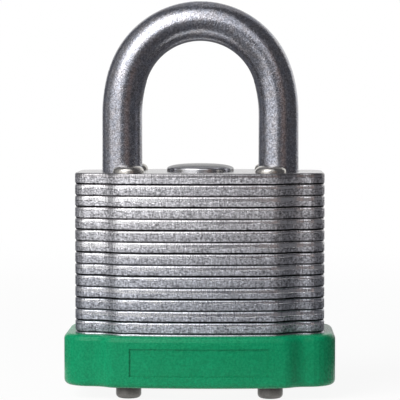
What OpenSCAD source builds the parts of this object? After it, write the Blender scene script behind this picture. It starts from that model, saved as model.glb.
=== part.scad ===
// Laminated padlock with a round shackle, a double bolt and a pin cylinder, in millimetres.
// Origin: on the surface it stands on, under the middle of the case.
// +X runs across the width, -Y is the front, +Z is up. The heel of the shackle is on the left.
// The lock is drawn closed with its plug turned to the unlocked position, so both bolts are drawn in.

/* [Plates] */
// Width of a plate across the shoulders
plate_w = 40; // [39:0.5:44]
// Depth of a plate at its middle
plate_d = 22; // [21.5:0.5:26]
// Thickness of a plate
plate_t = 1.815; // [1.7:0.005:2]
// Thickness of the top plate
top_plate_t = 1.8; // [1.5:0.05:1.9]
// How far the shoulders lie behind the middle of the face
shoulder_set_back = 3.1; // [2.9:0.05:3.3]
// Radius of the slight bow of the front and rear faces
face_bow_r = 106; // [95:1:130]
// Distance from the middle to where the face turns back to the shoulder
step_x = 10.9; // [10.5:0.1:11.3]
// Radius of each half of the turn between face and shoulder
step_r = 4.5; // [4:0.1:4.8]
// Radius of the upright corners of a plate
plate_corner_r = 2.8; // [2:0.1:3.2]
// Height of the groove under each plate's edge
groove_h = 0.2; // [0.1:0.05:0.4]
// Depth of the groove under each plate's edge
groove_d = 0.12; // [0.1:0.01:0.3]

/* [Shackle] */
// Diameter of the shackle's rod
rod_d = 6.5; // [6.2:0.1:6.8]
// Distance between the axes of the legs
leg_spacing = 25.4; // [25:0.1:27]
// Clear height inside the shackle above the case
shackle_clear_h = 21.15; // [18:0.05:60]
// How much tighter the crown of the bow is bent than a half circle from leg to leg
bow_tightening = 0.4; // [0.2:0.05:0.8]
// How much the bending thins the rod's radius at the crown
bow_thinning = 0.03; // [0.02:0.01:0.05]
// Height of the bevel at the ends of the legs
leg_bevel = 0.8; // [0.4:0.1:1.2]
// Gap under the end of the toe when the lock is closed
toe_gap = 1.15; // [0.8:0.05:1.3]
// Height of the compressed shackle spring
spring_h = 4.65; // [4:0.05:6]
// Distance from the end of the heel to its retaining ring
ring_set = 0.4; // [0.3:0.1:1]
// Thickness of the retaining ring
ring_t = 1; // [0.8:0.1:1.3]
// Width of the retaining ring's band
ring_band = 1.5; // [1.3:0.1:1.6]
// Depth of the groove that holds the retaining ring
ring_groove_d = 0.65; // [0.5:0.05:0.9]

/* [Rivets] */
// Diameter of a rivet's shank
rivet_d = 3.6; // [3:0.1:4]
// Distance between the rivets across the width
rivet_span_x = 22.66; // [22:0.1:23.5]
// Distance between the rivets from front to rear
rivet_span_y = 14; // [13.6:0.1:14.6]
// Diameter of a rivet's upper head
rivet_head_d = 4.96; // [4.4:0.1:5.4]
// Height of a rivet's upper head
rivet_head_h = 1.25; // [1:0.05:2]
// Height of the upright rim under the dome of the head
rivet_rim_h = 0.15; // [0.1:0.05:0.5]
// Fullness of the dome, where 2 is an ellipse and more is boxier
rivet_dome_fullness = 2.5; // [2:0.1:4]
// Diameter of a rivet's lower head
rivet_foot_d = 4.06; // [3.8:0.1:4.6]
// How far a rivet's lower head stands out under the bumper
rivet_foot_h = 2.1; // [1.5:0.05:4]
// Radius of the edge at the end of the lower head
rivet_foot_r = 0.7; // [0.4:0.1:1]

/* [Bumper] */
// Wall thickness of the bumper at its middle and its ends
bumper_wall = 1.75; // [1.5:0.05:2.5]
// Wall thickness of the bumper at its shoulders
bumper_shoulder_wall = 2.25; // [2:0.05:2.5]
// Floor thickness of the bumper
bumper_floor = 1.25; // [1:0.05:2]
// Height of the bumper
bumper_h = 8.25; // [6:0.05:14]
// Radius of the bumper's upright corners
bumper_corner_r = 4.4; // [3.6:0.1:4.8]
// How much further out the bumper's face turns back to its shoulder
bumper_step_shift = 1.9; // [1.5:0.1:2.1]
// Radius of each half of the turn between the bumper's face and shoulder
bumper_step_r = 3.3; // [2.8:0.1:3.6]
// Diameter of the opening in the floor for the key
key_opening_d = 13; // [11:0.5:14]
// Width of the plain panel on the front of the bumper
panel_w = 22; // [16:0.5:25]
// Height of the plain panel
panel_h = 4.4; // [3:0.2:5]
// Depth of the plain panel
panel_depth = 0.2; // [0.1:0.05:0.4]

/* [Top cap] */
// Diameter of the round cap on the top plate
cap_d = 10.9; // [9:0.1:12]
// Height of the cap
cap_h = 1.3; // [1.1:0.05:2]
// Height of the cap's upright wall under its dome
cap_wall_h = 0.4; // [0.2:0.05:0.8]
// Fullness of the cap's dome, where 2 is an ellipse and more is boxier
cap_dome_fullness = 2.4; // [2:0.1:4]
// Diameter of the cap's stem
cap_stem_d = 5; // [4:0.25:6]

/* [Cylinder] */
// Diameter of the plug
plug_d = 8.4; // [8:0.1:8.6]
// Diameter of the plug's face
plug_face_d = 9.9; // [9.4:0.1:10.4]
// How far the plug's face lies inside the base plate
plug_face_set = 0.2; // [0.1:0.05:0.5]
// Wall of the cylinder shell around the plug
shell_wall = 1.35; // [1.2:0.05:1.5]
// Distance from the plug's axis to the outer end of the pin chambers
chamber_reach = 9.4; // [9:0.1:9.5]
// Thickness of the strip that closes the pin chambers
cover_t = 0.5; // [0.3:0.05:0.6]
// Width of the shell's rib that holds the pin chambers
rib_w = 4.4; // [4:0.1:5]
// Diameter of a pin
pin_d = 2.5; // [2.2:0.1:2.7]
// Distance between neighbouring pins
pin_pitch = 3.6; // [3.2:0.1:3.8]
// Height of the first pin above the base plate
first_pin_h = 2.7; // [2.4:0.1:3.4]
// Length of a driver pin
driver_len = 2.4; // [2:0.1:2.8]
// Width of the keyway
keyway_w = 1.5; // [1.3:0.05:1.8]
// How far the keyway's side ribs stand into it
keyway_rib = 0.45; // [0.3:0.05:0.55]
// Wall of the plug left under the keyway
keyway_wall = 0.6; // [0.4:0.1:1]
// Wall of the plug left over the keyway, where the pin bores open
keyway_pin_wall = 1.5; // [1.2:0.1:1.8]
// Thickness of the plug's retaining clip
clip_t = 0.8; // [0.6:0.05:0.9]
// Diameter of the plug's retaining clip
clip_d = 9.1; // [8.9:0.05:9.3]
// Diameter of the plug's neck under the clip
neck_d = 6.6; // [6:0.1:7]

/* [Bolts] */
// Travel of each bolt
bolt_travel = 2.2; // [2:0.05:2.3]
// Width of a bolt's nose
nose_w = 4.8; // [4.2:0.1:5]
// Gap between a drawn-in nose and the shackle's leg
nose_gap = 0.3; // [0.2:0.05:0.4]
// Height of the ramp on a bolt's nose
nose_ramp = 1; // [0.6:0.1:1.5]
// Thickness of a bolt's arm and web
bolt_arm_t = 1.2; // [1:0.05:1.3]
// Thickness of the hook at the end of the arm
hook_t = 1.3; // [1.1:0.05:1.4]
// How far the hook reaches past the cam's axis
hook_reach = 1.9; // [1.7:0.1:2.4]
// Half width of the cam where it is narrowest
cam_waist = 1.6; // [1.5:0.05:1.7]
// Height of the tang that drives the cam
tang_h = 2; // [1.5:0.1:2.4]
// Length of the tang's cross-section
tang_l = 4; // [3.4:0.1:4.4]
// Width of the tang's cross-section
tang_w = 1.8; // [1.4:0.1:2]

/* [Springs] */
// Wire diameter of the shackle spring
shackle_wire_d = 0.6; // [0.5:0.05:0.7]
// Outer diameter of the shackle spring
shackle_coil_d = 6; // [5:0.25:6.5]
// Wire diameter of a bolt spring
bolt_wire_d = 0.35; // [0.3:0.05:0.45]
// Outer diameter of a bolt spring
bolt_coil_d = 2.3; // [2:0.1:2.4]
// Wire diameter of a pin spring
pin_wire_d = 0.25; // [0.2:0.05:0.3]
// Outer diameter of a pin spring
pin_coil_d = 2; // [1.7:0.1:2.1]

/* [Clearances] */
// Radial running clearance of the plug and the pins
run_gap = 0.05; // [0.02:0.01:0.08]
// Radial clearance of the shackle's legs in their holes
leg_gap = 0.15; // [0.1:0.05:0.25]
// Radial clearance of the rivets in their holes
rivet_gap = 0.1; // [0.05:0.01:0.15]
// Clearance between the bumper and the plates
bumper_gap = 0.05; // [0.02:0.01:0.1]
// Clearance over and under a sliding bolt
slide_gap = 0.1; // [0.05:0.05:0.15]
// Clearance between parts of the bolt work that pass each other
pass_gap = 0.25; // [0.15:0.05:0.3]

/* [Hidden] */

$fn = 64;
// A cut reaches this far past the faces it opens
over = 1;

// Plates are numbered from the top. The cap's stem fills the first three, the fourth is the ceiling of
// the bolt layer, and the retainer under the bolts holds the clip of the plug.
CAP_PLATES = 3;
BOLT_PLATES = [5, 6];
RETAINER_PLATE = 7;
CYLINDER_PLATES = [8, 17];
BASE_PLATE = 18;
PIN_COUNT = 4;
// Distance from the plug's axis to the tip of each key pin, by pin from the face inwards
KEY_PIN_TIPS = [1.1, 1.9, 1.5, 2.2];

// Heights, built up from the surface the lock stands on
bumper_z = rivet_foot_h;
bumper_top_z = bumper_z + bumper_h;
stack_z = bumper_z + bumper_floor;
function plate_bottom_z(i) = stack_z + (BASE_PLATE - i) * plate_t;
function plate_top_z(i) = plate_bottom_z(i) + (i == 1 ? top_plate_t : plate_t);
case_top_z = plate_top_z(1);
bolt_layer_z = plate_bottom_z(BOLT_PLATES[1]);
bolt_layer_top_z = plate_top_z(BOLT_PLATES[0]);
cylinder_z = plate_bottom_z(CYLINDER_PLATES[1]);
cylinder_top_z = plate_top_z(CYLINDER_PLATES[0]);

// Shackle
rod_r = rod_d / 2;
leg_x = leg_spacing / 2;
leg_hole_r = rod_r + leg_gap;
leg_inner_x = leg_x - rod_r;
// The bow is a crown between two flatter flanks. The centres of crown and flank lie on the long side of a
// 7:24:25 triangle, so each flank touches the crown at one end and the upright leg at the other.
crown_angle = atan2(24, 7);
crown_r = leg_x - bow_tightening;
crown_rod_r = rod_r - bow_thinning;
crown_rise = 7 * bow_tightening;
flank_r = leg_x + 24 * bow_tightening;
bend_z = case_top_z + shackle_clear_h + crown_rod_r - crown_r - crown_rise;
// How far the thinner rod of the crown runs into each flank
crown_lap = 0.5;
toe_z = cylinder_top_z + toe_gap;
heel_z = cylinder_z + spring_h;
ring_z = heel_z + ring_set;
ring_r = rod_r - ring_groove_d + ring_band;
heel_bore_r = ring_r + leg_gap;
shackle_lift = cylinder_top_z - ring_z - ring_t;

// Bolt work
cam_reach = cam_waist + bolt_travel;
// Rise of the cam for each radian of turn
cam_rise = bolt_travel / (PI / 2);
cam_tip_r = norm([cam_reach, cam_rise]);
bolt_z = bolt_layer_z + slide_gap;
bolt_h = bolt_layer_top_z - bolt_layer_z - 2 * slide_gap;
arm_y = cam_tip_r + pass_gap / 2;
arm_outer_y = arm_y + bolt_arm_t;
hook_x = cam_reach + run_gap;
hook_outer_x = hook_x + hook_t;
web_x = hook_outer_x + pass_gap;
web_outer_x = web_x + bolt_arm_t;
nose_tip_x = leg_inner_x - nose_gap;
notch_depth = bolt_travel - nose_gap + slide_gap;
pocket_x = web_outer_x + bolt_travel + pass_gap / 2;
pocket_y = arm_outer_y + slide_gap;
nose_slot_y = nose_w / 2 + slide_gap;
bolt_spring_y = pocket_y - bolt_coil_d / 2 - pass_gap;

// Cylinder
plug_r = plug_d / 2;
bore_r = plug_r + run_gap;
shell_r = bore_r + shell_wall;
plug_face_r = plug_face_d / 2;
plug_face_z = plate_bottom_z(BASE_PLATE) + plug_face_set;
plug_shoulder_z = cylinder_z - 2 * run_gap;
clip_z = cylinder_top_z + run_gap;
clip_r = clip_d / 2;
neck_r = neck_d / 2;
pin_r = pin_d / 2;
chamber_r = pin_r + run_gap;
cover_y = chamber_reach + cover_t;
function pin_z(i) = cylinder_z + first_pin_h + (i - 1) * pin_pitch;
keyway_top_u = plug_r - keyway_pin_wall;
keyway_bottom_u = keyway_wall - plug_r;
keyway_end_z = pin_z(PIN_COUNT) + chamber_r + keyway_wall;

// Points of an arc around c, from angle a to angle b in n steps
function arc(c, r, a, b, n) = [for (i = [0:n]) let (t = a + (b - a) * i / n) c + r * [cos(t), sin(t)]];

// Outline of a plate or of the bumper, symmetric about X and Y and grown outwards by grow.
// Its corner is the point where the shoulder's line meets the end's line. Each face is a shallow arc.
// It turns back to the shoulders through an outward and an inward arc of radius turn_r.
function outline_points(corner, corner_r, half_d, bow_r, turn_x, turn_r, grow) = let (
    bow_c = [0, half_d - bow_r],
    // The outward arc touches the bow from inside
    out_c = [turn_x, bow_c.y + sqrt(pow(bow_r - turn_r, 2) - pow(turn_x, 2))],
    // The inward arc touches the outward arc and the shoulder
    in_y = corner.y + turn_r,
    in_c = [out_c.x + sqrt(pow(2 * turn_r, 2) - pow(in_y - out_c.y, 2)), in_y],
    turn = atan2(in_c.y - out_c.y, in_c.x - out_c.x),
    bow_end = atan2(out_c.y - bow_c.y, out_c.x),
    // The corner's arc ends where the inward arc starts at the latest
    r = min(corner_r, corner.x - in_c.x),
    quarter = concat(
        arc(corner - [r, r], r + grow, 0, 90, 8),
        arc(in_c, turn_r - grow, 270, 180 + turn, 6),
        arc(out_c, turn_r + grow, turn, bow_end, 6)
    ),
    bow = arc(bow_c, bow_r + grow, bow_end, 180 - bow_end, 12),
    last = len(quarter) - 1,
    half = concat(
        quarter,
        [for (i = [1:len(bow) - 2]) bow[i]],
        [for (i = [last:-1:0]) [-quarter[i].x, quarter[i].y]]
    )
) concat(half, -half);

// Copies of a shape at the four mirrored places of a point
module four_ways(at) {
    for (sx = [-1, 1], sy = [-1, 1]) translate([sx * at.x, sy * at.y]) children();
}

module plate_outline(grow = 0) {
    corner = [plate_w / 2, plate_d / 2 - shoulder_set_back];
    polygon(outline_points(corner, plate_corner_r, plate_d / 2, face_bow_r, step_x, step_r, grow));
}

module bumper_outline(grow = 0) {
    corner = [plate_w / 2 + bumper_wall, plate_d / 2 - shoulder_set_back + bumper_shoulder_wall];
    polygon(outline_points(corner, bumper_corner_r, plate_d / 2 + bumper_wall, face_bow_r + bumper_wall,
        step_x + bumper_step_shift, bumper_step_r, grow));
}

module rivet_places() {
    four_ways([rivet_span_x / 2, rivet_span_y / 2]) children();
}

// A flat ring with a slot, open towards +X, such as a retaining ring
module split_ring(r_in, r_out, h) {
    slot_w = 1.2 * r_in;
    linear_extrude(h) difference() {
        circle(r = r_out);
        circle(r = r_in);
        translate([0, -slot_w / 2]) square([r_out + over, slot_w]);
    }
}

// A closed coil along +Z, from 0 to len, as a swept ring of side points
module coil(outer_d, wire_d, len, turns, steps = 14, sides = 6) {
    r = (outer_d - wire_d) / 2;
    last = turns * steps;
    function ring(i) = [for (s = [0:sides - 1])
        let (turn = 360 * i / steps, side = 360 * s / sides, reach = r + wire_d / 2 * cos(side))
        [
            reach * cos(turn),
            reach * sin(turn),
            wire_d / 2 + (len - wire_d) * i / last + wire_d / 2 * sin(side)
        ]
    ];
    points = [for (i = [0:last]) each ring(i)];
    walls = [for (i = [0:last - 1], s = [0:sides - 1])
        let (a = i * sides + s, b = i * sides + (s + 1) % sides)
        each [[a, a + sides, b], [b, a + sides, b + sides]]
    ];
    first_cap = [for (s = [sides - 1:-1:0]) s];
    last_cap = [for (s = [0:sides - 1]) last * sides + s];
    polyhedron(points, concat([first_cap, last_cap], walls), convexity = 8);
}

// Holes of plate i, as a flat shape
module plate_holes(i) {
    rivet_places() circle(r = rivet_d / 2 + rivet_gap);
    if (i <= RETAINER_PLATE) {
        for (side = [-1, 1]) translate([side * leg_x, 0]) circle(r = leg_hole_r);
    }
    if (i <= CAP_PLATES) circle(r = cap_stem_d / 2 + run_gap);
    if (i == BOLT_PLATES[0] || i == BOLT_PLATES[1]) bolt_pocket();
    if (i == RETAINER_PLATE) circle(r = clip_r + pass_gap);
    if (i >= CYLINDER_PLATES[0] && i <= CYLINDER_PLATES[1]) {
        translate([-leg_x, 0]) circle(r = heel_bore_r);
        shell_outline(cover_y, run_gap);
    }
    if (i == BASE_PLATE) circle(r = plug_face_r + pass_gap);
}

// Space in which both bolts, the cam and the bolt springs lie
module bolt_pocket() {
    square([2 * pocket_x, 2 * pocket_y], center = true);
    square([2 * leg_x, 2 * nose_slot_y], center = true);
}

module plate(i) {
    thick = plate_top_z(i) - plate_bottom_z(i);
    color("silver") translate([0, 0, plate_bottom_z(i)]) {
        translate([0, 0, groove_h]) linear_extrude(thick - groove_h) difference() {
            plate_outline();
            plate_holes(i);
        }
        linear_extrude(groove_h) difference() {
            plate_outline(-groove_d);
            plate_holes(i);
        }
    }
}

// A round head of diameter d: an upright rim, and on it a dome that is fuller than an ellipse
module domed_head(d, h, rim_h, fullness) {
    steps = 12;
    power = 2 / fullness;
    dome = [for (i = [0:steps])
        let (t = 90 * i / steps)
        [d / 2 * pow(cos(t), power), rim_h + (h - rim_h) * pow(sin(t), power)]
    ];
    rotate_extrude() polygon(concat([[0, 0], [d / 2, 0]], dome));
}

// Four rivets: a domed head, a shank and a lower head that passes through the bumper's floor
module rivets() {
    foot_r = rivet_foot_d / 2;
    color("gainsboro") rivet_places() {
        translate([0, 0, case_top_z]) {
            domed_head(rivet_head_d, rivet_head_h, rivet_rim_h, rivet_dome_fullness);
        }
        translate([0, 0, stack_z]) cylinder(h = case_top_z - stack_z, d = rivet_d);
        rotate_extrude() {
            translate([0, rivet_foot_r]) square([foot_r, stack_z - rivet_foot_r]);
            square([foot_r - rivet_foot_r, rivet_foot_r]);
            intersection() {
                translate([foot_r - rivet_foot_r, rivet_foot_r]) circle(r = rivet_foot_r);
                square([foot_r, rivet_foot_r]);
            }
        }
    }
}

// Plastic tray that is pushed over the lowest plates
module bumper() {
    panel_z = bumper_z + bumper_h / 2;
    color("seagreen") difference() {
        translate([0, 0, bumper_z]) linear_extrude(bumper_h) bumper_outline();
        translate([0, 0, stack_z]) linear_extrude(bumper_h) plate_outline(bumper_gap);
        translate([0, 0, bumper_z - over]) linear_extrude(bumper_floor + 2 * over) {
            rivet_places() circle(r = rivet_foot_d / 2 + rivet_gap);
            circle(d = key_opening_d);
        }
        difference() {
            translate([-panel_w / 2, -plate_d, panel_z - panel_h / 2]) cube([panel_w, plate_d, panel_h]);
            translate([0, 0, bumper_z]) linear_extrude(bumper_h) bumper_outline(-panel_depth);
        }
    }
}

// Low round cap with a stem that is pressed into the upper plates
module top_cap() {
    stem_z = plate_bottom_z(CAP_PLATES);
    color("lightgray") {
        translate([0, 0, case_top_z]) domed_head(cap_d, cap_h, cap_wall_h, cap_dome_fullness);
        translate([0, 0, stem_z]) cylinder(h = case_top_z - stem_z, d = cap_stem_d);
    }
}

// Bent round rod with a long heel on the left and a short toe on the right
module shackle() {
    notch_z = bolt_z - slide_gap - pass_gap / 2;
    notch_h = bolt_h + 2 * slide_gap + pass_gap;
    color("lightsteelblue") difference() {
        union() {
            translate([0, 0, bend_z]) bow();
            leg(-leg_x, heel_z);
            leg(leg_x, toe_z);
        }
        for (side = [-1, 1]) bolt_notch(side, notch_z, notch_h);
        // Relief that takes the left bolt when the shackle is fully lifted
        bolt_notch(-1, notch_z - shackle_lift, notch_h);
        translate([-leg_x, 0, ring_z]) difference() {
            cylinder(h = ring_t, r = rod_r + over);
            translate([0, 0, -over]) cylinder(h = ring_t + 2 * over, r = rod_r - ring_groove_d);
        }
    }
}

// The bow above the upright legs
module bow() {
    flank_angle = 90 - crown_angle;
    lap_angle = flank_angle - crown_lap / crown_r * 180 / PI;
    translate([0, 0, crown_rise]) bow_arc(crown_r, crown_rod_r, lap_angle, 180 - lap_angle);
    translate([leg_x - flank_r, 0, 0]) bow_arc(flank_r, rod_r, 0, flank_angle);
    translate([flank_r - leg_x, 0, 0]) bow_arc(flank_r, rod_r, 180 - flank_angle, 180);
}

// Bent piece of rod in the plane of the legs, from angle a to angle b above +X
module bow_arc(bend_r, r, a, b) {
    rotate([90, 0, 0]) rotate_extrude(angle = b - a, start = a) translate([bend_r, 0]) circle(r = r);
}

module leg(x, z) {
    translate([x, 0, z]) {
        cylinder(h = leg_bevel, r1 = rod_r - leg_bevel / 2, r2 = rod_r);
        translate([0, 0, leg_bevel]) cylinder(h = bend_z - z - leg_bevel, r = rod_r);
    }
}

// Notch in the inner side of a leg
module bolt_notch(side, z, h) {
    flat_x = leg_inner_x + notch_depth;
    translate([side > 0 ? flat_x - rod_d : -flat_x, -rod_d, z]) cube([rod_d, 2 * rod_d, h]);
}

module heel_ring() {
    inner_r = rod_r - ring_groove_d + run_gap / 2;
    color("dimgray") translate([-leg_x, 0, ring_z + run_gap / 2]) {
        split_ring(inner_r, ring_r, ring_t - run_gap);
    }
}

module shackle_spring() {
    color("gray") translate([-leg_x, 0, cylinder_z]) {
        coil(shackle_coil_d, shackle_wire_d, spring_h, 5, 16, 8);
    }
}

// The plug's housing with its rib, which reaches to reach_y
module shell_outline(reach_y, grow = 0) {
    circle(r = shell_r + grow);
    translate([-rib_w / 2 - grow, 0]) square([rib_w + 2 * grow, reach_y + grow]);
}

// Places along +Y from the plug's axis, at the height of pin i
module at_chamber(i) {
    translate([0, 0, pin_z(i)]) rotate([-90, 0, 0]) children();
}

// Places along +X from the plug's axis, where the turned plug carries its pins
module at_plug_bore(i) {
    translate([0, 0, pin_z(i)]) rotate([0, 90, 0]) children();
}

module cylinder_shell() {
    color("goldenrod") difference() {
        translate([0, 0, cylinder_z]) linear_extrude(cylinder_top_z - cylinder_z) difference() {
            shell_outline(chamber_reach);
            circle(r = bore_r);
        }
        for (i = [1:PIN_COUNT]) at_chamber(i) {
            translate([0, 0, plug_r / 2]) cylinder(h = chamber_reach, r = chamber_r);
        }
    }
}

module chamber_cover() {
    color("khaki") translate([-rib_w / 2, chamber_reach, cylinder_z]) {
        cube([rib_w, cover_t, cylinder_top_z - cylinder_z]);
    }
}

// Plug with its face, keyway, pin bores, neck and tang, in the unlocked position
module plug() {
    clip_top_z = clip_z + clip_t + run_gap;
    color("gold") difference() {
        union() {
            translate([0, 0, plug_face_z]) cylinder(h = plug_shoulder_z - plug_face_z, r = plug_face_r);
            translate([0, 0, plug_shoulder_z]) cylinder(h = cylinder_top_z - plug_shoulder_z, r = plug_r);
            translate([0, 0, cylinder_top_z]) cylinder(h = bolt_layer_z - cylinder_top_z, r = neck_r);
            translate([0, 0, clip_top_z]) cylinder(h = bolt_layer_z - clip_top_z, r = plug_r);
            translate([-tang_l / 2, -tang_w / 2, bolt_layer_z]) cube([tang_l, tang_w, tang_h]);
        }
        translate([0, 0, plug_face_z - over]) linear_extrude(keyway_end_z - plug_face_z + over) keyway();
        for (i = [1:PIN_COUNT]) at_plug_bore(i) cylinder(h = plug_d, r = chamber_r);
    }
}

// Cross-section of the keyway, with a rib on each side
module keyway() {
    half = keyway_w / 2;
    rib_l = (keyway_top_u - keyway_bottom_u) / 6;
    difference() {
        translate([keyway_bottom_u, -half]) square([keyway_top_u - keyway_bottom_u, keyway_w]);
        translate([rib_l / 2, half - keyway_rib]) square([rib_l, keyway_rib + over]);
        translate([-1.5 * rib_l, -half - over]) square([rib_l, keyway_rib + over]);
    }
}

module plug_clip() {
    color("dimgray") translate([0, 0, clip_z]) split_ring(neck_r + run_gap / 2, clip_r, clip_t);
}

// Flat cam with two equal lobes. Its reach grows evenly with the angle, so the bolts move evenly.
module cam() {
    steps = 9;
    lobe = [for (i = [0:steps])
        let (a = -90 + 90 * i / steps, h = cam_reach + cam_rise * a * PI / 180)
        [h * cos(a) - cam_rise * sin(a), h * sin(a) + cam_rise * cos(a)]
    ];
    color("darkgray") translate([0, 0, bolt_layer_z]) difference() {
        linear_extrude(bolt_h + slide_gap) polygon(concat(lobe, [for (p = lobe) -p]));
        translate([-tang_l / 2 - run_gap, -tang_w / 2 - run_gap, -over]) {
            cube([tang_l + 2 * run_gap, tang_w + 2 * run_gap, tang_h + run_gap + over]);
        }
    }
}

// Key pin i stands in the turned plug, level with its surface, with a cone towards the keyway
module key_pin(i) {
    tip = KEY_PIN_TIPS[i - 1];
    cone_h = pin_r / 2;
    color("khaki") at_plug_bore(i) intersection() {
        translate([0, 0, tip]) {
            cylinder(h = cone_h, r1 = pin_r / 2, r2 = pin_r);
            translate([0, 0, cone_h]) cylinder(h = plug_r, r = pin_r);
        }
        rotate([0, -90, 0]) cylinder(h = 2 * plug_d, r = plug_r - run_gap, center = true);
    }
}

module driver_pin(i) {
    color("silver") at_chamber(i) translate([0, 0, bore_r]) cylinder(h = driver_len, r = pin_r);
}

module pin_spring(i) {
    start = bore_r + driver_len;
    color("gray") at_chamber(i) translate([0, 0, start]) {
        coil(pin_coil_d, pin_wire_d, chamber_reach - start, 4, 12, 6);
    }
}

// Bolt on the right: a ramped nose, a web, and an arm past the cam to a hook on its far side
module bolt() {
    color("slategray") translate([0, 0, bolt_z]) {
        rotate([90, 0, 0]) translate([0, 0, -nose_w / 2]) linear_extrude(nose_w) polygon([
            [web_x, 0],
            [nose_tip_x, 0],
            [nose_tip_x, bolt_h - nose_ramp],
            [nose_tip_x - nose_ramp, bolt_h],
            [web_x, bolt_h]
        ]);
        translate([web_x, -nose_w / 2]) cube([bolt_arm_t, nose_w / 2 + arm_outer_y, bolt_h]);
        translate([-hook_outer_x, arm_y]) cube([hook_outer_x + web_outer_x, bolt_arm_t, bolt_h]);
        translate([-hook_outer_x, -hook_reach]) cube([hook_t, hook_reach + arm_outer_y, bolt_h]);
    }
}

// Spring of the right bolt, between the wall of the pocket and the bolt's hook
module bolt_spring() {
    color("gray") translate([-pocket_x, bolt_spring_y, bolt_z + bolt_h / 2]) rotate([0, 90, 0]) {
        coil(bolt_coil_d, bolt_wire_d, pocket_x - hook_outer_x, 5, 12, 6);
    }
}

module right_bolt() { bolt(); }
module left_bolt() { rotate([0, 0, 180]) bolt(); }
module right_bolt_spring() { bolt_spring(); }
module left_bolt_spring() { rotate([0, 0, 180]) bolt_spring(); }

plate(1);  // plate_01
plate(2);  // plate_02
plate(3);  // plate_03
plate(4);  // plate_04
plate(5);  // plate_05
plate(6);  // plate_06
plate(7);  // plate_07
plate(8);  // plate_08
plate(9);  // plate_09
plate(10);  // plate_10
plate(11);  // plate_11
plate(12);  // plate_12
plate(13);  // plate_13
plate(14);  // plate_14
plate(15);  // plate_15
plate(16);  // plate_16
plate(17);  // plate_17
plate(18);  // plate_18
rivets();
bumper();
top_cap();
shackle();
heel_ring();
shackle_spring();
cylinder_shell();
chamber_cover();
plug();
plug_clip();
cam();
key_pin(1);  // key_pin_1
key_pin(2);  // key_pin_2
key_pin(3);  // key_pin_3
key_pin(4);  // key_pin_4
driver_pin(1);  // driver_pin_1
driver_pin(2);  // driver_pin_2
driver_pin(3);  // driver_pin_3
driver_pin(4);  // driver_pin_4
pin_spring(1);  // pin_spring_1
pin_spring(2);  // pin_spring_2
pin_spring(3);  // pin_spring_3
pin_spring(4);  // pin_spring_4
left_bolt();
right_bolt();
left_bolt_spring();
right_bolt_spring();
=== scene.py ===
"""Looks of the laminated padlock: the finishes of its pieces, and the floor, light and camera round them."""
import math
from collections import namedtuple

import bpy
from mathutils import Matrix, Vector


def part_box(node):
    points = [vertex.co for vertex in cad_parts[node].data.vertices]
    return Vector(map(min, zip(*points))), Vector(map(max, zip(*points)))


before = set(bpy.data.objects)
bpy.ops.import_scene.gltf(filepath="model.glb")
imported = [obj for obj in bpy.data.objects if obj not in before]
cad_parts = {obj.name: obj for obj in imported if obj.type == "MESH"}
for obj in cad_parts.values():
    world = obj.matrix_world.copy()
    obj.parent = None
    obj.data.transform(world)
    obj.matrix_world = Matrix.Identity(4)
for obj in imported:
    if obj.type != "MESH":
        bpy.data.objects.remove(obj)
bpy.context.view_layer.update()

MM = 0.001

# ---------------------------------------------------------------- places taken from the frame, in millimetres
BASE_PLATE = "plate_18"
TOP_PLATE = "plate_01"
stack_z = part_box(BASE_PLATE)[0].z / MM
plate_t = (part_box(BASE_PLATE)[1].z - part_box(BASE_PLATE)[0].z) / MM
case_top_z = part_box(TOP_PLATE)[1].z / MM
bumper_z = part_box("bumper")[0].z / MM


# ---------------------------------------------------------------- pieces that share a finish
def nodes_with(part):
    """The CAD nodes with this part in their names."""
    return sorted(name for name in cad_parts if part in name)


PLATES = nodes_with("plate_")
SPRINGS = nodes_with("spring")
KEY_PINS = nodes_with("key_pin_")
DRIVER_PINS = nodes_with("driver_pin_")

# ---------------------------------------------------------------- camera
CAMERA_AIM = Vector((-0.056, 0, 31.323)) * MM
CAMERA_DISTANCE = 330 * MM
CAMERA_AZIMUTH = 1.25
CAMERA_ELEVATION = 2.86
CAMERA_LENS = 182.4
CAMERA_CLIP = (0.01, 20)    # metres


def direction(azimuth, elevation):
    """Unit vector from the lock towards an azimuth and elevation in degrees. Azimuth 0 is the front."""
    a, e = math.radians(azimuth), math.radians(elevation)
    return Vector((math.sin(a) * math.cos(e), -math.cos(a) * math.cos(e), math.sin(e)))


def add_object(name, data):
    """Object that holds the data, linked into the scene."""
    thing = bpy.data.objects.new(name, data)
    bpy.context.scene.collection.objects.link(thing)
    return thing


def look_at_lock(thing, azimuth, elevation, distance):
    """Puts a camera or a lamp at a distance in metres from the camera's aim, turned towards it."""
    back = direction(azimuth, elevation)
    thing.location = CAMERA_AIM + back * distance
    thing.rotation_euler = (-back).to_track_quat("-Z", "Y").to_euler()


def make_camera():
    """The photograph's view: the front, from slightly right of the middle and slightly above."""
    camera = add_object("camera", bpy.data.cameras.new("camera"))
    camera.data.lens = CAMERA_LENS
    camera.data.clip_start, camera.data.clip_end = CAMERA_CLIP
    look_at_lock(camera, CAMERA_AZIMUTH, CAMERA_ELEVATION, CAMERA_DISTANCE)
    bpy.context.scene.camera = camera


# ---------------------------------------------------------------- node trees
def rgba(colour):
    return (*colour, 1.0)


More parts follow.
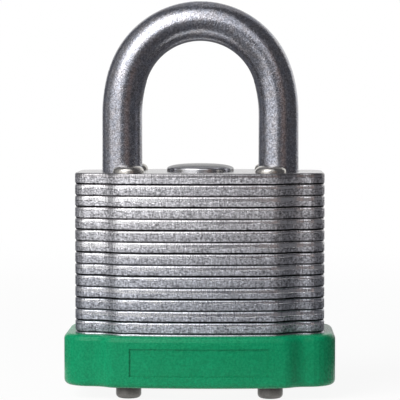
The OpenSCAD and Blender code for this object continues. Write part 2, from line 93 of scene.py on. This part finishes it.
class Graph:
    """A shader tree under construction. Its calls return output sockets, and take sockets or plain values."""

    def __init__(self, owner):
        owner.use_nodes = True
        self.tree = owner.node_tree
        self.tree.nodes.clear()

    def node(self, kind, inputs=None, **settings):
        """A new node. Its inputs go by name or number, and its settings by name."""
        made = self.tree.nodes.new(kind)
        for name, value in settings.items():
            setattr(made, name, value)
        for name, value in (inputs or {}).items():
            self.plug(made.inputs[name], value)
        return made

    def plug(self, socket, value):
        if isinstance(value, bpy.types.NodeSocket):
            self.tree.links.new(value, socket)
        else:
            socket.default_value = value

    def math(self, operation, a, b=0.0):
        return self.node("ShaderNodeMath", {0: a, 1: b}, operation=operation).outputs[0]

    def add(self, a, b):
        return self.math("ADD", a, b)

    def sub(self, a, b):
        return self.math("SUBTRACT", a, b)

    def mul(self, first, *others):
        """Product of them all."""
        for other in others:
            first = self.math("MULTIPLY", first, other)
        return first

    def vector(self, operation, a, b):
        return self.node("ShaderNodeVectorMath", {0: a, 1: b}, operation=operation).outputs[0]

    def ramp(self, value, low, high, to_low=0.0, to_high=1.0):
        """Value taken from low..high to to_low..to_high, clamped, with soft ends."""
        inputs = {"Value": value, "From Min": low, "From Max": high, "To Min": to_low, "To Max": to_high}
        return self.node("ShaderNodeMapRange", inputs, interpolation_type="SMOOTHSTEP").outputs[0]

    def noise(self, place, scale, detail=2.0, roughness=0.5):
        """Noise of 0..1. The scale is in spots per millimetre: one number, or one for each axis."""
        if isinstance(scale, tuple):
            place, scale = self.vector("MULTIPLY", place, scale), 1.0
        inputs = {"Vector": place, "Scale": scale, "Detail": detail, "Roughness": roughness}
        return self.node("ShaderNodeTexNoise", inputs).outputs["Fac"]

    def spread(self, noise, amount, middle=1.0):
        """The middle value less half the amount where the noise is 0, and plus that half where it is 1."""
        return self.add(middle, self.mul(self.sub(noise, 0.5), amount))

    def less(self, factor, amount):
        """1 where factor is 0, and 1 - amount where it is 1."""
        return self.sub(1.0, self.mul(factor, amount))

    def blend(self, factor, a, b):
        """Value a where factor is 0 and b where it is 1."""
        return self.add(a, self.mul(factor, self.sub(b, a)))

    def tint(self, factor, a, b):
        """Colour a where factor is 0 and b where it is 1."""
        mix = self.node("ShaderNodeMix", data_type="RGBA")
        for socket, value in zip((mix.inputs[0], mix.inputs[6], mix.inputs[7]), (factor, rgba(a), rgba(b))):
            self.plug(socket, value)
        return mix.outputs[2]

    def shade(self, colour, factor):
        """The colour times a factor."""
        return self.node("ShaderNodeVectorMath", {0: colour, "Scale": factor}, operation="SCALE").outputs[0]

    def bump(self, height, distance):
        """Surface normal bent by a height of 0..1 that stands for distance millimetres."""
        return self.node("ShaderNodeBump", {"Height": height, "Distance": distance * MM}).outputs[0]

    def place(self):
        """Place on the piece in millimetres, and its height."""
        here = self.node("ShaderNodeTexCoord").outputs["Object"]
        here = self.vector("MULTIPLY", here, (1 / MM, 1 / MM, 1 / MM))
        return here, self.node("ShaderNodeSeparateXYZ", {0: here}).outputs["Z"]

    def upward(self):
        """1 where the surface looks straight up, 0 on a side and -1 where it looks down."""
        normal = self.node("ShaderNodeNewGeometry").outputs["Normal"]
        return self.node("ShaderNodeSeparateXYZ", {0: normal}).outputs["Z"]


def new_finish(name):
    """A fresh material and the graph of its nodes."""
    material = bpy.data.materials.new(name)
    return material, Graph(material)


def principled(graph, colour, roughness, normal, metallic=1.0, **plain):
    """Ends a material's graph. Plain holds values that are the same all over."""
    inputs = {"Base Color": colour, "Roughness": roughness, "Metallic": metallic, "Normal": normal, **plain}
    shader = graph.node("ShaderNodeBsdfPrincipled", inputs)
    graph.node("ShaderNodeOutputMaterial", {"Surface": shader.outputs[0]})


# ---------------------------------------------------------------- finish of the plates
# Lengths are in millimetres. A pair of values is where a soft step begins and where it is complete, or what
# holds before it and after it. A tone is a factor on the colour, a contrast the range of such a factor, and
# a darkness the share of the colour that is lost.

# Each plate has a burnished band below its top edge, and at its foot a joint blackened by painted shade and
# oil
BAND_DEPTHS = (0.62, 0.82)          # of the lower and the upper plate of a pair
BAND_SPREAD = 0.24                  # from plate to plate
BAND_WAVES = (0.2, 1.1)             # along the calmest and the wildest plate
BAND_EDGE = (-0.05, 0.06)
JOINT_HEIGHTS = (0.14, 0.22)
JOINT_WAVES = 0.12
JOINT_EDGE = (0.05, -0.03)
JOINT_DARKNESS = (0.9, 0.985)

# A seam of dots runs along the lower end of the band
SEAM_OFFSET = 0.02
SEAM_EDGE = (0.12, 0.03)
SEAM_DOTS = (0.36, 0.56)            # of the noise
SEAM_DARKNESS = 0.7
SEAM_RELIEF = 0.5

# A painted highlight brightens the band between the rolled edge and the seam, above its own smoother metal
HIGHLIGHT_START = (0.2, 0.34)
HIGHLIGHT_END = (0.02, -0.08)
HIGHLIGHT_LINES = (0.38, 0.6)           # of the noise
HIGHLIGHT_GAINS = (0.5, 1.7)
TOP_PLATE_STEP = 1.0                # less than a plate's thickness, so that only the top plate is past it
TOP_PLATE_HIGHLIGHT = 0.1
# Painted shade darkens the top plate's rolled edge and dims the reflection it would show
TOP_PLATE_EDGE_SHADE = (0.5, 0.2)
TOP_PLATE_EDGE_SHADE_DARKNESS = 0.4

# What the level faces, painted lighter, each plate by itself, and the plates near the bumper, darker and
# bluer towards the bottom, do to the colour
SIDE_TURN = (0.9, 0.6)              # upward part of the normal
LEVEL_FACE_LIGHT = 1.2
OWN_SHIFT = 90.0                    # how far apart on each axis two plates may lie in the noises
OWN_TONES = (0.93, 1.07)
NEAR_BUMPER_HEIGHTS = (30.0, 13.0)
NEAR_BUMPER_TONES = (1.06, 0.81)
NEAR_BUMPER_HUES = ((1.01, 1.0, 0.985), (0.965, 1.0, 1.04))

# Surface of the burnished band, and of the torn rest below it
STEELS = ((0.56, 0.55, 0.565), (0.57, 0.57, 0.60))
ROUGHNESSES = (0.22, 0.42)
ROUGHNESS_SPREAD = 0.2
GRAIN_SHARES = (0.35, 1.0)
GRAIN_RELIEFS = (0.3, 1.0)
GRAIN_CONTRAST = 3.8
STREAK_CONTRAST = 1.8
STREAK_RELIEF = 0.5
CLOUD_CONTRAST = 0.3
PIT_SIZES = (0.60, 0.72)            # of the noise
PIT_DARKNESS = 0.75
RELIEF_HEIGHT = 0.06


def plate_layers(g, z):
    """The plate at a height, counted from the base, the depth below its top, and 1 on the top plate."""
    stack_h = case_top_z - stack_z
    height = g.sub(z, stack_z)
    index = g.math("FLOOR", g.math("DIVIDE", height, plate_t))
    top = g.math("MINIMUM", g.mul(g.add(index, 1.0), plate_t), stack_h)
    is_top = g.ramp(top, stack_h - TOP_PLATE_STEP, stack_h)
    return index, g.sub(top, height), is_top


def plate_finish():
    """Stamped steel plates: a burnished band with a painted highlight under each rolled top edge, a dotted
    seam, a torn band below.

    The plates lie in pairs, the upper one of a pair with the wider burnished band and the blacker joint.
    """
    material, g = new_finish("plate_steel_finish")
    here, z = g.place()
    index, depth, is_top = plate_layers(g, z)
    upper = g.math("MODULO", index, 2.0)
    own = g.node("ShaderNodeTexWhiteNoise", {"W": g.add(index, 0.5)}, noise_dimensions="1D").outputs["Color"]
    own_depth, own_tone, own_waves = g.node("ShaderNodeSeparateColor", {0: own}).outputs
    here = g.vector("ADD", here, g.shade(own, OWN_SHIFT))
    on_side = g.ramp(g.math("ABSOLUTE", g.upward()), *SIDE_TURN)

    wave = g.noise(here, scale=(0.3, 0.3, 0.0), detail=3.0)
    streaks = g.noise(here, scale=(5.0, 5.0, 0.8), detail=3.0, roughness=0.65)
    lines = g.noise(here, scale=(0.45, 0.45, 6.0), detail=3.0, roughness=0.6)
    grain = g.noise(here, scale=(2.6, 2.6, 3.4), detail=3.0, roughness=0.7)
    cloud = g.noise(here, scale=(0.35, 0.35, 0.8), detail=3.0)
    dots = g.ramp(g.noise(here, scale=(2.4, 2.4, 0.3), roughness=0.7), *SEAM_DOTS)
    pits = g.ramp(g.noise(here, scale=3.6, roughness=0.6), *PIT_SIZES)

    band = g.spread(own_depth, BAND_SPREAD, middle=g.blend(upper, *BAND_DEPTHS))
    band = g.spread(wave, g.blend(own_waves, *BAND_WAVES), middle=band)
    below_band = g.sub(depth, band)
    torn = g.mul(g.ramp(below_band, *BAND_EDGE), on_side)
    seam = g.ramp(g.math("ABSOLUTE", g.sub(below_band, SEAM_OFFSET)), *SEAM_EDGE)
    seam = g.mul(seam, dots, on_side)
    # the joint's black is painted shade in the gap between plates, with oil in it
    joint = g.spread(wave, JOINT_WAVES, middle=g.blend(upper, *JOINT_HEIGHTS))
    joint = g.ramp(g.sub(g.sub(plate_t, depth), joint), *JOINT_EDGE)
    joint = g.mul(joint, g.blend(upper, *JOINT_DARKNESS), on_side)
    # painted highlight on the burnished band, in streaky lines
    band_highlight = g.mul(g.ramp(depth, *HIGHLIGHT_START), g.ramp(below_band, *HIGHLIGHT_END), on_side)
    band_highlight = g.mul(band_highlight, g.blend(is_top, 1.0, TOP_PLATE_HIGHLIGHT), g.ramp(lines, *HIGHLIGHT_LINES, *HIGHLIGHT_GAINS))
    # painted shade on the top plate's rolled edge
    top_edge_shade = g.mul(is_top, g.ramp(depth, *TOP_PLATE_EDGE_SHADE))
    # darker and bluer towards the bottom
    near_bumper = g.ramp(z, *NEAR_BUMPER_HEIGHTS)

    tone = g.mul(
        g.spread(cloud, CLOUD_CONTRAST),
        g.spread(streaks, STREAK_CONTRAST),
        g.spread(grain, g.mul(GRAIN_CONTRAST, g.blend(torn, *GRAIN_SHARES))),
        g.less(g.mul(pits, torn), PIT_DARKNESS),
        g.blend(own_tone, *OWN_TONES),
        g.less(seam, SEAM_DARKNESS),
        g.sub(1.0, joint),
        # painted highlight on the burnished band
        g.add(1.0, band_highlight),
        g.less(top_edge_shade, TOP_PLATE_EDGE_SHADE_DARKNESS),
        # painted light on the faces that look up or down
        g.blend(on_side, LEVEL_FACE_LIGHT, 1.0),
        g.blend(near_bumper, *NEAR_BUMPER_TONES),
    )
    steel = g.vector("MULTIPLY", g.tint(torn, *STEELS), g.tint(near_bumper, *NEAR_BUMPER_HUES))
    roughness = g.spread(grain, ROUGHNESS_SPREAD, middle=g.blend(torn, *ROUGHNESSES))
    relief = g.add(g.mul(streaks, STREAK_RELIEF), g.mul(grain, g.blend(torn, *GRAIN_RELIEFS)))
    relief = g.bump(g.sub(relief, g.mul(seam, SEAM_RELIEF)), RELIEF_HEIGHT)
    principled(g, g.shade(steel, tone), roughness, relief)
    return material


# ---------------------------------------------------------------- the other finishes
# The words mean what they do for the plates. For the rivets' heads the upper ones come first in a pair.
SHACKLE_STEELS = ((0.42, 0.432, 0.478), (0.45, 0.44, 0.46))
SHACKLE_PATCHES = (0.35, 0.65)      # of the noise
SHACKLE_ROUGHNESS = 0.215
MOTTLE_RELIEF = 0.6

LOOKS_UP = (0.9, 0.97)              # upward part of the normal

HEAD_STEELS = ((0.60, 0.575, 0.53), (0.17, 0.162, 0.155))
HEAD_ROUGHNESSES = (0.17, 0.36)
HEAD_STEP = 1.0                     # below the plates
# Painted shade on the lower heads, growing towards the bumper's underside
BUMPER_SHADE_START = 0.5
BUMPER_SHADE_DARKNESS = 0.75
# Painted shade at the foot of the lower heads, where they meet the floor
HEAD_RIM = (0.3, 0.1)
HEAD_RIM_DARKNESS = 0.6

GREENS = ((0.0, 0.228, 0.094), (0.0, 0.242, 0.102))
GREEN_PATCHES = (0.3, 0.7)          # of the noise
BUMPER_ROUGHNESS = 0.27
BUMPER_GLOSS = 0.25


def shackle_finish():
    """Satin plating with a fine pebbled grain."""
    material, g = new_finish("shackle_steel_finish")
    here, _ = g.place()
    mottle = g.noise(here, scale=1.6, detail=4.0, roughness=0.7)
    grain = g.noise(here, scale=4.0, roughness=0.6)
    streaks = g.noise(here, scale=(3.0, 3.0, 0.8), roughness=0.6)
    patches = g.ramp(g.noise(here, scale=0.9), *SHACKLE_PATCHES)
    tone = g.mul(
        g.spread(mottle, amount=0.8),
        g.spread(grain, amount=2.2),
        g.spread(streaks, amount=0.4),
    )
    roughness = g.spread(mottle, amount=0.2, middle=SHACKLE_ROUGHNESS)
    relief = g.bump(g.add(g.mul(mottle, MOTTLE_RELIEF), grain), distance=0.026)
    principled(g, g.shade(g.tint(patches, *SHACKLE_STEELS), tone), roughness, relief)
    return material


def metal_finish(name, colour, roughness, top=1.0, **plain):
    """Plain metal with fine grain and soft clouds. Top is a painted tone on the faces that look up; below 1
    it is painted shade.
    """
    material, g = new_finish(name + "_finish")
    here, _ = g.place()
    grain = g.noise(here, scale=5.0, detail=3.0, roughness=0.65)
    cloud = g.noise(here, scale=0.6)
    tone = g.mul(
        g.spread(grain, amount=0.35),
        g.spread(cloud, amount=0.3),
        g.blend(g.ramp(g.upward(), *LOOKS_UP), 1.0, top),
    )
    roughness = g.spread(grain, amount=0.15, middle=roughness)
    relief = g.bump(grain, distance=0.008)
    principled(g, g.shade(colour, tone), roughness, relief, **plain)
    return material


def rivet_finish():
    """Warm grey steel heads. The lower heads are duller, with painted shade up to the bumper's floor and at
    their foot.
    """
    material, g = new_finish("rivet_steel_finish")
    here, z = g.place()
    grain = g.noise(here, scale=3.6, detail=4.0, roughness=0.7)
    cloud = g.noise(here, scale=0.7)
    low = g.ramp(z, stack_z, stack_z - HEAD_STEP)
    # painted shade under the bumper
    bumper_shade = g.mul(g.ramp(z, BUMPER_SHADE_START, bumper_z), low)
    # painted shade at the foot
    rim = g.mul(g.ramp(z, *HEAD_RIM), low)
    tone = g.mul(
        g.spread(grain, amount=0.9),
        g.spread(cloud, amount=0.5),
        g.less(bumper_shade, BUMPER_SHADE_DARKNESS),
        g.less(rim, HEAD_RIM_DARKNESS),
    )
    roughness = g.spread(cloud, amount=0.15, middle=g.blend(low, *HEAD_ROUGHNESSES))
    relief = g.bump(grain, distance=0.03)
    principled(g, g.shade(g.tint(low, *HEAD_STEELS), tone), roughness, relief)
    return material


def bumper_finish():
    """Matte moulded plastic with fine spark-eroded grain."""
    material, g = new_finish("bumper_plastic_finish")
    here, _ = g.place()
    grain = g.noise(here, scale=3.0, detail=3.0, roughness=0.7)
    patches = g.ramp(g.noise(here, scale=0.25), *GREEN_PATCHES)
    green = g.shade(g.tint(patches, *GREENS), g.spread(grain, amount=1.1))
    roughness = g.spread(grain, amount=0.3, middle=BUMPER_ROUGHNESS)
    relief = g.bump(grain, distance=0.03)
    principled(g, green, roughness, relief, metallic=0.0, **{"Specular IOR Level": BUMPER_GLOSS})
    return material


# ---------------------------------------------------------------- rounded edges
# Angles are in degrees and lengths in millimetres
FLAT_ANGLE = 0.3
ROUNDED_ANGLE = 50
SHARP_ANGLE = 40
RIM_SHARE = 0.7             # outer edges lie beyond this share of the way from the middle to a side
LEVEL_TOLERANCE = 0.01
WELD_DISTANCE = 0.001
NORMAL_WEIGHT = 60
BOTTOM_SHARE = "Bottom share"
PLATE_ROUNDING = 0.28
BUMPER_ROUNDING = 0.9
BUMPER_BOTTOM = 0.9
BUMPER_SEGMENTS = 4


class EdgeGraph:
    """Geometry nodes that pass a piece through and keep a value on each of its edges."""

    def __init__(self, name, *numbers):
        self.group = bpy.data.node_groups.new(name, "GeometryNodeTree")
        face = self.group.interface
        face.new_socket("Geometry", in_out="INPUT", socket_type="NodeSocketGeometry")
        for number in numbers:
            face.new_socket(number, in_out="INPUT", socket_type="NodeSocketFloat")
        face.new_socket("Geometry", in_out="OUTPUT", socket_type="NodeSocketGeometry")
        self.source = self.new("NodeGroupInput").outputs
        self.angle = self.new("GeometryNodeInputMeshEdgeAngle").outputs[0]

    def new(self, kind, *values, **settings):
        node = self.group.nodes.new(kind)
        for name, value in settings.items():
            setattr(node, name, value)
        for socket, value in zip(node.inputs, values):
            if isinstance(value, bpy.types.NodeSocket):
                self.group.links.new(value, socket)
            else:
                socket.default_value = value
        return node

    def number(self, operation, a, b=0.0):
        return self.new("ShaderNodeMath", a, b, operation=operation).outputs[0]

    def vector(self, operation, a, b=(0, 0, 0)):
        outputs = self.new("ShaderNodeVectorMath", a, b, operation=operation).outputs
        return outputs["Value" if operation == "DOT_PRODUCT" else 0]

    def parts(self, vector):
        """Its x, y and z."""
        return self.new("ShaderNodeSeparateXYZ", vector).outputs

    def keep(self, name, value, kind):
        """Stores the value on the edges and ends the graph."""
        store = self.new("GeometryNodeStoreNamedAttribute", domain="EDGE", data_type=kind)
        store.inputs["Name"].default_value = name
        self.group.links.new(self.source["Geometry"], store.inputs["Geometry"])
        self.group.links.new(value, store.inputs["Value"])
        self.new("NodeGroupOutput", store.outputs[0])
        return self.group


def rounded_edge_nodes():
    """Marks the sharp edges round a piece's outside, at its top and, by a share, at its bottom."""
    g = EdgeGraph("mark_rounded", BOTTOM_SHARE)
    bounds = g.new("GeometryNodeBoundBox", g.source["Geometry"]).outputs
    place = g.new("GeometryNodeInputPosition").outputs[0]
    reach = g.parts(g.vector("DIVIDE", g.vector("ABSOLUTE", place), bounds["Max"]))
    at_rim = g.number("GREATER_THAN", g.number("MAXIMUM", reach[0], reach[1]), RIM_SHARE)
    normal = g.new("GeometryNodeInputNormal").outputs[0]
    outward = g.vector("DOT_PRODUCT", normal, g.vector("MULTIPLY", place, (1, 1, 0)))
    outside = g.number("MULTIPLY", at_rim, g.number("GREATER_THAN", outward, 0.0))
    z = g.parts(place)[2]
    tolerance = LEVEL_TOLERANCE * MM
    at_top = g.number("GREATER_THAN", z, g.number("SUBTRACT", g.parts(bounds["Max"])[2], tolerance))
    at_bottom = g.number("LESS_THAN", z, g.number("ADD", g.parts(bounds["Min"])[2], tolerance))
    share = g.number("ADD", at_top, g.number("MULTIPLY", at_bottom, g.source[BOTTOM_SHARE]))
    sharp = g.number("GREATER_THAN", g.angle, math.radians(ROUNDED_ANGLE))
    weight = g.number("MULTIPLY", g.number("MULTIPLY", sharp, outside), share)
    return g.keep("bevel_weight_edge", weight, "FLOAT")


def sharp_edge_nodes():
    """Marks the edges that stay sharp in the shading."""
    g = EdgeGraph("mark_sharp")
    sharp = g.number("GREATER_THAN", g.angle, math.radians(SHARP_ANGLE))
    return g.keep("sharp_edge", sharp, "BOOLEAN")


def round_edges(node, width, bottom=0.0, segments=3):
    """Rounds a CAD node's outer edges: width millimetres at its top, and the share bottom of that below."""
    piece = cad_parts[node]
    weld = piece.modifiers.new("weld", "WELD")
    weld.merge_threshold = WELD_DISTANCE * MM
    flats = piece.modifiers.new("flats", "DECIMATE")
    flats.decimate_type = "DISSOLVE"
    flats.angle_limit = math.radians(FLAT_ANGLE)
    marks = piece.modifiers.new("rounded", "NODES")
    marks.node_group = ROUNDED_EDGES
    socket = next(s.identifier for s in ROUNDED_EDGES.interface.items_tree if s.name == BOTTOM_SHARE)
    marks[socket] = bottom
    bevel = piece.modifiers.new("rounding", "BEVEL")
    bevel.limit_method = "WEIGHT"
    bevel.use_clamp_overlap = False
    bevel.loop_slide = False
    bevel.width = width * MM
    bevel.segments = segments
    piece.modifiers.new("sharp", "NODES").node_group = SHARP_EDGES
    smooth = piece.modifiers.new("normals", "WEIGHTED_NORMAL")
    smooth.weight = NORMAL_WEIGHT
    smooth.keep_sharp = True


def dress(nodes, material):
    """Gives the CAD nodes a material."""
    for node in nodes:
        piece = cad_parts[node]
        for slot in piece.material_slots:
            slot.material = material


# ---------------------------------------------------------------- stage
# Lengths are in metres, angles in degrees and the lamp's power in watts
FLOOR_HALF = 3.0
FLOOR_PAPER = (0.9, 0.9, 0.9)
FLOOR_GLOW = 0.92
FLOOR_FADE = (0.08, 0.35)
WHITE = (1, 1, 1)
WORLD_LIGHT = 0.20
KEY_AZIMUTH = -45
KEY_ELEVATION = 36
KEY_DISTANCE = 0.8
KEY_SIZE = 0.6
KEY_POWER = 7.6

# Cards that only reflections show. Each runs out over the floor between two distances, then up a dome of its
# radius between two elevations, or does one of the two. Its colour is 1 where it is as bright as white paper.
Card = namedtuple("Card", "name azimuths distances elevations radius colour")
CARDS = (
    Card("flag_left", (-148, 0), (0.045, 1.2), (0, 89), 1.20, (0.155, 0.160, 0.180)),
    Card("flag_right", (0, 128), (0.045, 1.2), (0, 89), 1.20, (0.105, 0.105, 0.115)),
    Card("flag_behind", (128, 212), None, (32, 89), 1.20, (0.40, 0.40, 0.42)),
    Card("flag_behind_low", (128, 212), (0.045, 1.2), None, 1.20, (0.16, 0.16, 0.17)),
    Card("card_left", (-112, -70), (0.30, 1.15), (0, 60), 1.15, (0.34, 0.34, 0.35)),
    Card("card_low", (-112, -6), (0.045, 0.23), None, 1.15, (0.22, 0.22, 0.23)),
    Card("card_warm", (14, 40), (0.30, 1.15), (0, 30), 1.15, (0.24, 0.185, 0.17)),
    Card("softbox", (-72, -9), (0.22, 1.10), (0, 70), 1.10, (1.0, 1.0, 1.02)),
    Card("softbox_high", (-9, 28), None, (12, 70), 1.10, (0.95, 0.96, 1.0)),
    Card("softbox_core", (-52, -5), None, (13, 56), 1.00, (3.3, 3.3, 3.35)),
)
CARD_STEPS = 12

# Cards of the widest radius lie lowest over the floor, and the others higher, so that none share a plane
WIDEST_RADIUS = 1.2
LOWEST_CARD = 0.1 * MM
CARD_RISE = 1.0 * MM        # for each metre of radius less


def seen_not_scattered(graph):
    """1 on camera, glossy and transmission rays, and 0 on diffuse ones."""
    path = graph.node("ShaderNodeLightPath").outputs
    seen = graph.math("MAXIMUM", path["Is Camera Ray"], path["Is Glossy Ray"])
    return graph.math("MAXIMUM", seen, path["Is Transmission Ray"])


def make_world():
    """White where it is seen, and a plain level of light on the object."""
    world = bpy.data.worlds.new("studio")
    bpy.context.scene.world = world
    g = Graph(world)
    strength = g.blend(seen_not_scattered(g), WORLD_LIGHT, 1.0)
    back = g.node("ShaderNodeBackground", {"Color": rgba(WHITE), "Strength": strength})
    g.node("ShaderNodeOutputWorld", {"Surface": back.outputs[0]})


def make_floor():
    """White floor that keeps the lock's shadow and fades into the background away from it."""
    mesh = bpy.data.meshes.new("floor")
    corners = [(x * FLOOR_HALF, y * FLOOR_HALF, 0) for x, y in ((-1, -1), (1, -1), (1, 1), (-1, 1))]
    mesh.from_pydata(corners, [], [(0, 1, 2, 3)])
    material, g = new_finish("floor_paper")
    here = g.node("ShaderNodeTexCoord").outputs["Object"]
    away = g.node("ShaderNodeVectorMath", {0: here}, operation="LENGTH").outputs["Value"]
    paper = g.node("ShaderNodeBsdfDiffuse", {"Color": rgba(FLOOR_PAPER)})
    glow = g.node("ShaderNodeEmission", {"Color": rgba(WHITE), "Strength": 1.0})
    share = g.mul(seen_not_scattered(g), g.ramp(away, *FLOOR_FADE, FLOOR_GLOW, 1.0))
    surface = g.node("ShaderNodeMixShader", {0: share, 1: paper.outputs[0], 2: glow.outputs[0]})
    g.node("ShaderNodeOutputMaterial", {"Surface": surface.outputs[0]})
    mesh.materials.append(material)
    add_object("floor", mesh)


def steps(low, high, bend=1):
    """The ends of CARD_STEPS steps from low to high, which are even, or finer near low with a bend over 1."""
    return [low + (high - low) * (i / CARD_STEPS) ** bend for i in range(CARD_STEPS + 1)]


def card_mesh(spec):
    """Grid of a card, with a row of points along its azimuths at each distance and then each elevation."""
    rows = []
    if spec.distances:
        rows += [(distance, 0) for distance in steps(*spec.distances, bend=2)]
    if spec.elevations:
        rows += [(spec.radius, elevation) for elevation in steps(*spec.elevations)]
    lift = Vector((0, 0, LOWEST_CARD + (WIDEST_RADIUS - spec.radius) * CARD_RISE))
    points = [direction(azimuth, elevation) * distance + lift
              for distance, elevation in rows for azimuth in steps(*spec.azimuths)]
    width = CARD_STEPS + 1
    corners = [row * width + i for row in range(len(rows) - 1) for i in range(CARD_STEPS)]
    mesh = bpy.data.meshes.new(spec.name)
    mesh.from_pydata(points, [], [(c, c + 1, c + width + 1, c + width) for c in corners])
    return mesh


def make_card(spec):
    """One of the cards, as an emitting sheet that nothing but reflections meets."""
    mesh = card_mesh(spec)
    material, g = new_finish(spec.name + "_face")
    glow = g.node("ShaderNodeEmission", {"Color": rgba(spec.colour), "Strength": 1.0})
    g.node("ShaderNodeOutputMaterial", {"Surface": glow.outputs[0]})
    mesh.materials.append(material)
    card = add_object(spec.name, mesh)
    card.visible_camera = False
    card.visible_diffuse = False
    card.visible_shadow = False
    card.visible_transmission = False


def make_lamp():
    """Soft lamp for the diffuse light. The softbox cards stand for its reflection."""
    data = bpy.data.lights.new("key_lamp", "AREA")
    data.shape = "SQUARE"
    data.size = KEY_SIZE
    data.energy = KEY_POWER
    lamp = add_object("key_lamp", data)
    lamp.visible_glossy = False
    lamp.visible_camera = False
    look_at_lock(lamp, KEY_AZIMUTH, KEY_ELEVATION, KEY_DISTANCE)


def make_stage():
    """The world, the floor, the cards and the lamp."""
    make_world()
    make_floor()
    for spec in CARDS:
        make_card(spec)
    make_lamp()


# ---------------------------------------------------------------- the lock
ROUNDED_EDGES = rounded_edge_nodes()
SHARP_EDGES = sharp_edge_nodes()

# The cap reflects less than bare steel where it is seen at a low angle, and its top is darkened by painted
# shade that dims its reflection
CAP_LOOKS = {"top": 0.72, "Specular Tint": rgba((0.55, 0.55, 0.55))}

# Nodes, name of the finish, colour and roughness
PLAIN_METALS = (
    (("heel_ring", "plug_clip"), "clip_steel", (0.20, 0.20, 0.21), 0.35),
    (SPRINGS, "spring_steel", (0.42, 0.42, 0.44), 0.28),
    (("cylinder_shell", "chamber_cover"), "shell_brass", (0.66, 0.49, 0.22), 0.35),
    (("plug",), "plug_brass", (0.71, 0.53, 0.24), 0.3),
    (KEY_PINS, "pin_brass", (0.74, 0.58, 0.28), 0.25),
    (DRIVER_PINS, "pin_steel", (0.60, 0.60, 0.60), 0.25),
    (("cam", "left_bolt", "right_bolt"), "bolt_steel", (0.38, 0.38, 0.40), 0.4),
)

make_camera()
make_stage()

for plate in PLATES:
    round_edges(plate, PLATE_ROUNDING)
round_edges("bumper", BUMPER_ROUNDING, BUMPER_BOTTOM, BUMPER_SEGMENTS)

dress(PLATES, plate_finish())
dress(["shackle"], shackle_finish())
dress(["rivets"], rivet_finish())
dress(["top_cap"], metal_finish("cap_steel", (0.60, 0.60, 0.61), 0.20, **CAP_LOOKS))
dress(["bumper"], bumper_finish())
for nodes, name, colour, roughness in PLAIN_METALS:
    dress(nodes, metal_finish(name, colour, roughness))

bpy.context.scene.view_settings.view_transform = "Standard"
